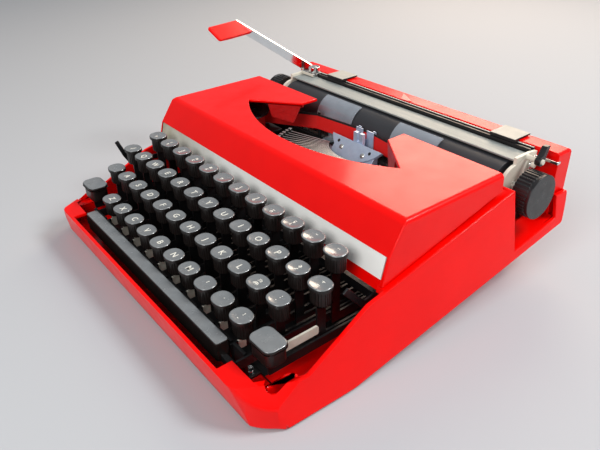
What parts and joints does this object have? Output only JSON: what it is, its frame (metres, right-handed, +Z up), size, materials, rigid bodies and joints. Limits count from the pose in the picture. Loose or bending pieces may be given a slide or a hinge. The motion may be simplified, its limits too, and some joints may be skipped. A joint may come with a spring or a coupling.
{
  "type": "portable typewriter",
  "caption": "Portable typewriter with a flared casing, hinged ribbon cover, lever keys, shifting type basket and a sliding carriage with platen, knobs and return lever.",
  "frame": {"origin": "on the desk under the middle of the casing", "axes": "+X to the typist's right, +Y to the back, +Z up"},
  "size_m": [0.3235, 0.2585, 0.1225],
  "materials": {
    "red_paint": "gloss stove enamel",
    "red_plastic": "moulded",
    "black_paint": "satin enamel",
    "rubber": "matt",
    "polished_aluminium": "brushed and polished",
    "grey_steel": "satin",
    "steel": "plated",
    "blue_steel": "bright plated",
    "chrome": "polished",
    "ribbon_cloth": "inked cloth",
    "black_plastic": "moulded",
    "key_plastic": "moulded, with light legends",
    "cream_plastic": "moulded",
    "clear_plastic": "clear moulded"
  },
  "bodies": {
    "machine": {"base_shell": "red_paint", "bottom_pan": "black_paint", "rubber_feet": "rubber", "trim_strip": "polished_aluminium", "chassis_frame": "grey_steel", "key_axle": "steel", "screws": "chrome", "card_guides": "clear_plastic", "ribbon": "ribbon_cloth"},
    "ribbon_cover": {"ribbon_cover": "red_paint"},
    "type_basket": {"type_segment": "blue_steel", "typebars": "steel"},
    "ribbon_vibrator": {"ribbon_vibrator": "steel"},
    "ribbon_spool_left": {"ribbon_spool_left": "black_plastic"},
    "ribbon_spool_right": {"ribbon_spool_right": "black_plastic"},
    "mainspring_drum": {"mainspring_drum": "grey_steel"},
    "ribbon_selector": {"ribbon_selector": "black_plastic"},
    "touch_lever": {"touch_lever": "black_plastic"},
    "carriage": {"carriage_frame": "steel", "paper_table": "polished_aluminium", "margin_rail": "black_paint"},
    "left_margin_stop": {"left_margin_stop": "cream_plastic"},
    "right_margin_stop": {"right_margin_stop": "cream_plastic"},
    "platen": {"platen": "rubber", "platen_knobs": "black_plastic"},
    "return_lever": {"return_lever": "chrome", "return_lever_grip": "red_plastic"},
    "paper_release_lever": {"paper_release_lever": "chrome"},
    "carriage_lock_lever": {"carriage_lock_lever": "black_plastic"},
    "key_q": {"key_q": "key_plastic"},
    "key_w": {"key_w": "key_plastic"},
    "key_e": {"key_e": "key_plastic"},
    "key_r": {"key_r": "key_plastic"},
    "key_t": {"key_t": "key_plastic"},
    "key_y": {"key_y": "key_plastic"},
    "key_u": {"key_u": "key_plastic"},
    "key_i": {"key_i": "key_plastic"},
    "key_o": {"key_o": "key_plastic"},
    "key_p": {"key_p": "key_plastic"},
    "key_a": {"key_a": "key_plastic"},
    "key_s": {"key_s": "key_plastic"},
    "key_d": {"key_d": "key_plastic"},
    "key_f": {"key_f": "key_plastic"},
    "key_g": {"key_g": "key_plastic"},
    "key_h": {"key_h": "key_plastic"},
    "key_j": {"key_j": "key_plastic"},
    "key_k": {"key_k": "key_plastic"},
    "key_l": {"key_l": "key_plastic"},
    "key_z": {"key_z": "key_plastic"},
    "key_x": {"key_x": "key_plastic"},
    "key_c": {"key_c": "key_plastic"},
    "key_v": {"key_v": "key_plastic"},
    "key_b": {"key_b": "key_plastic"},
    "key_n": {"key_n": "key_plastic"},
    "key_m": {"key_m": "key_plastic"},
    "figure_keys": {"figure_keys": "key_plastic"},
    "space_bar": {"space_bar": "key_plastic"},
    "shift_lock": {"shift_lock": "key_plastic"},
    "backspace_key": {"backspace_key": "key_plastic"},
    "shift_keys": {"shift_keys": "key_plastic"}
  },
  "joints": [
    {"name": "figure_keys_press", "type": "hinge", "parent": "machine", "child": "figure_keys", "pos_m": [0, 0.058, 0.021], "axis": [1, 0, 0], "range_deg": [0, 4.2], "stiffness_Nm_per_rad": 1.5, "springref_deg": -14.32},
    {"name": "space_bar_press", "type": "hinge", "parent": "machine", "child": "space_bar", "pos_m": [0, 0.058, 0.021], "axis": [1, 0, 0], "range_deg": [0, 3], "stiffness_Nm_per_rad": 1, "springref_deg": -17.19},
    {"name": "shift_lock_press", "type": "hinge", "parent": "machine", "child": "shift_lock", "pos_m": [0, 0.058, 0.021], "axis": [1, 0, 0], "range_deg": [0, 4.2], "stiffness_Nm_per_rad": 0.3, "springref_deg": -14.32},
    {"name": "backspace_key_press", "type": "hinge", "parent": "machine", "child": "backspace_key", "pos_m": [0, 0.058, 0.021], "axis": [1, 0, 0], "range_deg": [0, 4.2], "stiffness_Nm_per_rad": 0.3, "springref_deg": -14.32},
    {"name": "shift_keys_press", "type": "hinge", "parent": "machine", "child": "shift_keys", "pos_m": [0, 0.058, 0.021], "axis": [1, 0, 0], "range_deg": [0, 4.2], "stiffness_Nm_per_rad": 1, "springref_deg": -17.19},
    {"name": "carriage_travel", "type": "slide", "parent": "machine", "child": "carriage", "axis": [-1, 0, 0], "range_m": [-0.1, 0.1]},
    {"name": "platen_turn", "type": "hinge", "parent": "carriage", "child": "platen", "pos_m": [0, 0.091, 0.0625], "axis": [1, 0, 0], "continuous": true},
    {"name": "return_lever_swing", "type": "hinge", "parent": "carriage", "child": "return_lever", "pos_m": [-0.106, 0.1075, 0.086], "axis": [0, 0, 1], "range_deg": [0, 25], "stiffness_Nm_per_rad": 0.05, "springref_deg": -11.46},
    {"name": "paper_release_tilt", "type": "hinge", "parent": "carriage", "child": "paper_release_lever", "pos_m": [0.12, 0.1055, 0.074], "axis": [1, 0, 0], "range_deg": [0, 25]},
    {"name": "carriage_lock_tilt", "type": "hinge", "parent": "carriage", "child": "carriage_lock_lever", "pos_m": [0.128, 0.101, 0.0805], "axis": [1, 0, 0], "range_deg": [0, 25]},
    {"name": "left_margin_set", "type": "slide", "parent": "carriage", "child": "left_margin_stop", "axis": [1, 0, 0], "range_m": [-0.012, 0.05]},
    {"name": "right_margin_set", "type": "slide", "parent": "carriage", "child": "right_margin_stop", "axis": [1, 0, 0], "range_m": [-0.05, 0.01]},
    {"name": "cover_open", "type": "hinge", "parent": "machine", "child": "ribbon_cover", "pos_m": [0, 0.058, 0.077], "axis": [-1, 0, 0], "range_deg": [0, 65]},
    {"name": "left_spool_turn", "type": "hinge", "parent": "machine", "child": "ribbon_spool_left", "pos_m": [-0.097, 0.022, 0.068], "axis": [0, 0, 1], "continuous": true},
    {"name": "right_spool_turn", "type": "hinge", "parent": "machine", "child": "ribbon_spool_right", "pos_m": [0.097, 0.022, 0.068], "axis": [0, 0, 1], "continuous": true},
    {"name": "ribbon_lift", "type": "slide", "parent": "machine", "child": "ribbon_vibrator", "axis": [0, 0, 1], "range_m": [0, 0.007], "deforming": ["ribbon"]},
    {"name": "basket_shift", "type": "slide", "parent": "machine", "child": "type_basket", "axis": [0, 0, -1], "range_m": [0, 0.0056]},
    {"name": "mainspring_turn", "type": "hinge", "parent": "machine", "child": "mainspring_drum", "pos_m": [-0.06, 0.075, 0.023], "axis": [0, 1, 0], "range_deg": [-460, 460]},
    {"name": "ribbon_selector_set", "type": "hinge", "parent": "machine", "child": "ribbon_selector", "pos_m": [-0.122, -0.025, 0.042], "axis": [1, 0, 0], "range_deg": [-5, 5]},
    {"name": "touch_set", "type": "hinge", "parent": "machine", "child": "touch_lever", "pos_m": [0.122, -0.025, 0.042], "axis": [1, 0, 0], "range_deg": [-5, 5]},
    {"name": "key_q_press", "type": "hinge", "parent": "machine", "child": "key_q", "pos_m": [0, 0.058, 0.021], "axis": [1, 0, 0], "range_deg": [0, 4.2], "stiffness_Nm_per_rad": 0.3, "springref_deg": -14.32},
    {"name": "key_w_press", "type": "hinge", "parent": "machine", "child": "key_w", "pos_m": [0, 0.058, 0.021], "axis": [1, 0, 0], "range_deg": [0, 4.2], "stiffness_Nm_per_rad": 0.3, "springref_deg": -14.32},
    {"name": "key_e_press", "type": "hinge", "parent": "machine", "child": "key_e", "pos_m": [0, 0.058, 0.021], "axis": [1, 0, 0], "range_deg": [0, 4.2], "stiffness_Nm_per_rad": 0.3, "springref_deg": -14.32},
    {"name": "key_r_press", "type": "hinge", "parent": "machine", "child": "key_r", "pos_m": [0, 0.058, 0.021], "axis": [1, 0, 0], "range_deg": [0, 4.2], "stiffness_Nm_per_rad": 0.3, "springref_deg": -14.32},
    {"name": "key_t_press", "type": "hinge", "parent": "machine", "child": "key_t", "pos_m": [0, 0.058, 0.021], "axis": [1, 0, 0], "range_deg": [0, 4.2], "stiffness_Nm_per_rad": 0.3, "springref_deg": -14.32},
    {"name": "key_y_press", "type": "hinge", "parent": "machine", "child": "key_y", "pos_m": [0, 0.058, 0.021], "axis": [1, 0, 0], "range_deg": [0, 4.2], "stiffness_Nm_per_rad": 0.3, "springref_deg": -14.32},
    {"name": "key_u_press", "type": "hinge", "parent": "machine", "child": "key_u", "pos_m": [0, 0.058, 0.021], "axis": [1, 0, 0], "range_deg": [0, 4.2], "stiffness_Nm_per_rad": 0.3, "springref_deg": -14.32},
    {"name": "key_i_press", "type": "hinge", "parent": "machine", "child": "key_i", "pos_m": [0, 0.058, 0.021], "axis": [1, 0, 0], "range_deg": [0, 4.2], "stiffness_Nm_per_rad": 0.3, "springref_deg": -14.32},
    {"name": "key_o_press", "type": "hinge", "parent": "machine", "child": "key_o", "pos_m": [0, 0.058, 0.021], "axis": [1, 0, 0], "range_deg": [0, 4.2], "stiffness_Nm_per_rad": 0.3, "springref_deg": -14.32},
    {"name": "key_p_press", "type": "hinge", "parent": "machine", "child": "key_p", "pos_m": [0, 0.058, 0.021], "axis": [1, 0, 0], "range_deg": [0, 4.2], "stiffness_Nm_per_rad": 0.3, "springref_deg": -14.32},
    {"name": "key_a_press", "type": "hinge", "parent": "machine", "child": "key_a", "pos_m": [0, 0.058, 0.021], "axis": [1, 0, 0], "range_deg": [0, 4.2], "stiffness_Nm_per_rad": 0.3, "springref_deg": -14.32},
    {"name": "key_s_press", "type": "hinge", "parent": "machine", "child": "key_s", "pos_m": [0, 0.058, 0.021], "axis": [1, 0, 0], "range_deg": [0, 4.2], "stiffness_Nm_per_rad": 0.3, "springref_deg": -14.32},
    {"name": "key_d_press", "type": "hinge", "parent": "machine", "child": "key_d", "pos_m": [0, 0.058, 0.021], "axis": [1, 0, 0], "range_deg": [0, 4.2], "stiffness_Nm_per_rad": 0.3, "springref_deg": -14.32},
    {"name": "key_f_press", "type": "hinge", "parent": "machine", "child": "key_f", "pos_m": [0, 0.058, 0.021], "axis": [1, 0, 0], "range_deg": [0, 4.2], "stiffness_Nm_per_rad": 0.3, "springref_deg": -14.32},
    {"name": "key_g_press", "type": "hinge", "parent": "machine", "child": "key_g", "pos_m": [0, 0.058, 0.021], "axis": [1, 0, 0], "range_deg": [0, 4.2], "stiffness_Nm_per_rad": 0.3, "springref_deg": -14.32},
    {"name": "key_h_press", "type": "hinge", "parent": "machine", "child": "key_h", "pos_m": [0, 0.058, 0.021], "axis": [1, 0, 0], "range_deg": [0, 4.2], "stiffness_Nm_per_rad": 0.3, "springref_deg": -14.32},
    {"name": "key_j_press", "type": "hinge", "parent": "machine", "child": "key_j", "pos_m": [0, 0.058, 0.021], "axis": [1, 0, 0], "range_deg": [0, 4.2], "stiffness_Nm_per_rad": 0.3, "springref_deg": -14.32},
    {"name": "key_k_press", "type": "hinge", "parent": "machine", "child": "key_k", "pos_m": [0, 0.058, 0.021], "axis": [1, 0, 0], "range_deg": [0, 4.2], "stiffness_Nm_per_rad": 0.3, "springref_deg": -14.32},
    {"name": "key_l_press", "type": "hinge", "parent": "machine", "child": "key_l", "pos_m": [0, 0.058, 0.021], "axis": [1, 0, 0], "range_deg": [0, 4.2], "stiffness_Nm_per_rad": 0.3, "springref_deg": -14.32},
    {"name": "key_z_press", "type": "hinge", "parent": "machine", "child": "key_z", "pos_m": [0, 0.058, 0.021], "axis": [1, 0, 0], "range_deg": [0, 4.2], "stiffness_Nm_per_rad": 0.3, "springref_deg": -14.32},
    {"name": "key_x_press", "type": "hinge", "parent": "machine", "child": "key_x", "pos_m": [0, 0.058, 0.021], "axis": [1, 0, 0], "range_deg": [0, 4.2], "stiffness_Nm_per_rad": 0.3, "springref_deg": -14.32},
    {"name": "key_c_press", "type": "hinge", "parent": "machine", "child": "key_c", "pos_m": [0, 0.058, 0.021], "axis": [1, 0, 0], "range_deg": [0, 4.2], "stiffness_Nm_per_rad": 0.3, "springref_deg": -14.32},
    {"name": "key_v_press", "type": "hinge", "parent": "machine", "child": "key_v", "pos_m": [0, 0.058, 0.021], "axis": [1, 0, 0], "range_deg": [0, 4.2], "stiffness_Nm_per_rad": 0.3, "springref_deg": -14.32},
    {"name": "key_b_press", "type": "hinge", "parent": "machine", "child": "key_b", "pos_m": [0, 0.058, 0.021], "axis": [1, 0, 0], "range_deg": [0, 4.2], "stiffness_Nm_per_rad": 0.3, "springref_deg": -14.32},
    {"name": "key_n_press", "type": "hinge", "parent": "machine", "child": "key_n", "pos_m": [0, 0.058, 0.021], "axis": [1, 0, 0], "range_deg": [0, 4.2], "stiffness_Nm_per_rad": 0.3, "springref_deg": -14.32},
    {"name": "key_m_press", "type": "hinge", "parent": "machine", "child": "key_m", "pos_m": [0, 0.058, 0.021], "axis": [1, 0, 0], "range_deg": [0, 4.2], "stiffness_Nm_per_rad": 0.3, "springref_deg": -14.32}
  ],
  "couplings": [
    {"joint": "basket_shift", "follows": "shift_keys_press", "m_per_rad": 0.075},
    {"joint": "mainspring_turn", "follows": "carriage_travel", "rad_per_m": 76.9}
  ]
}
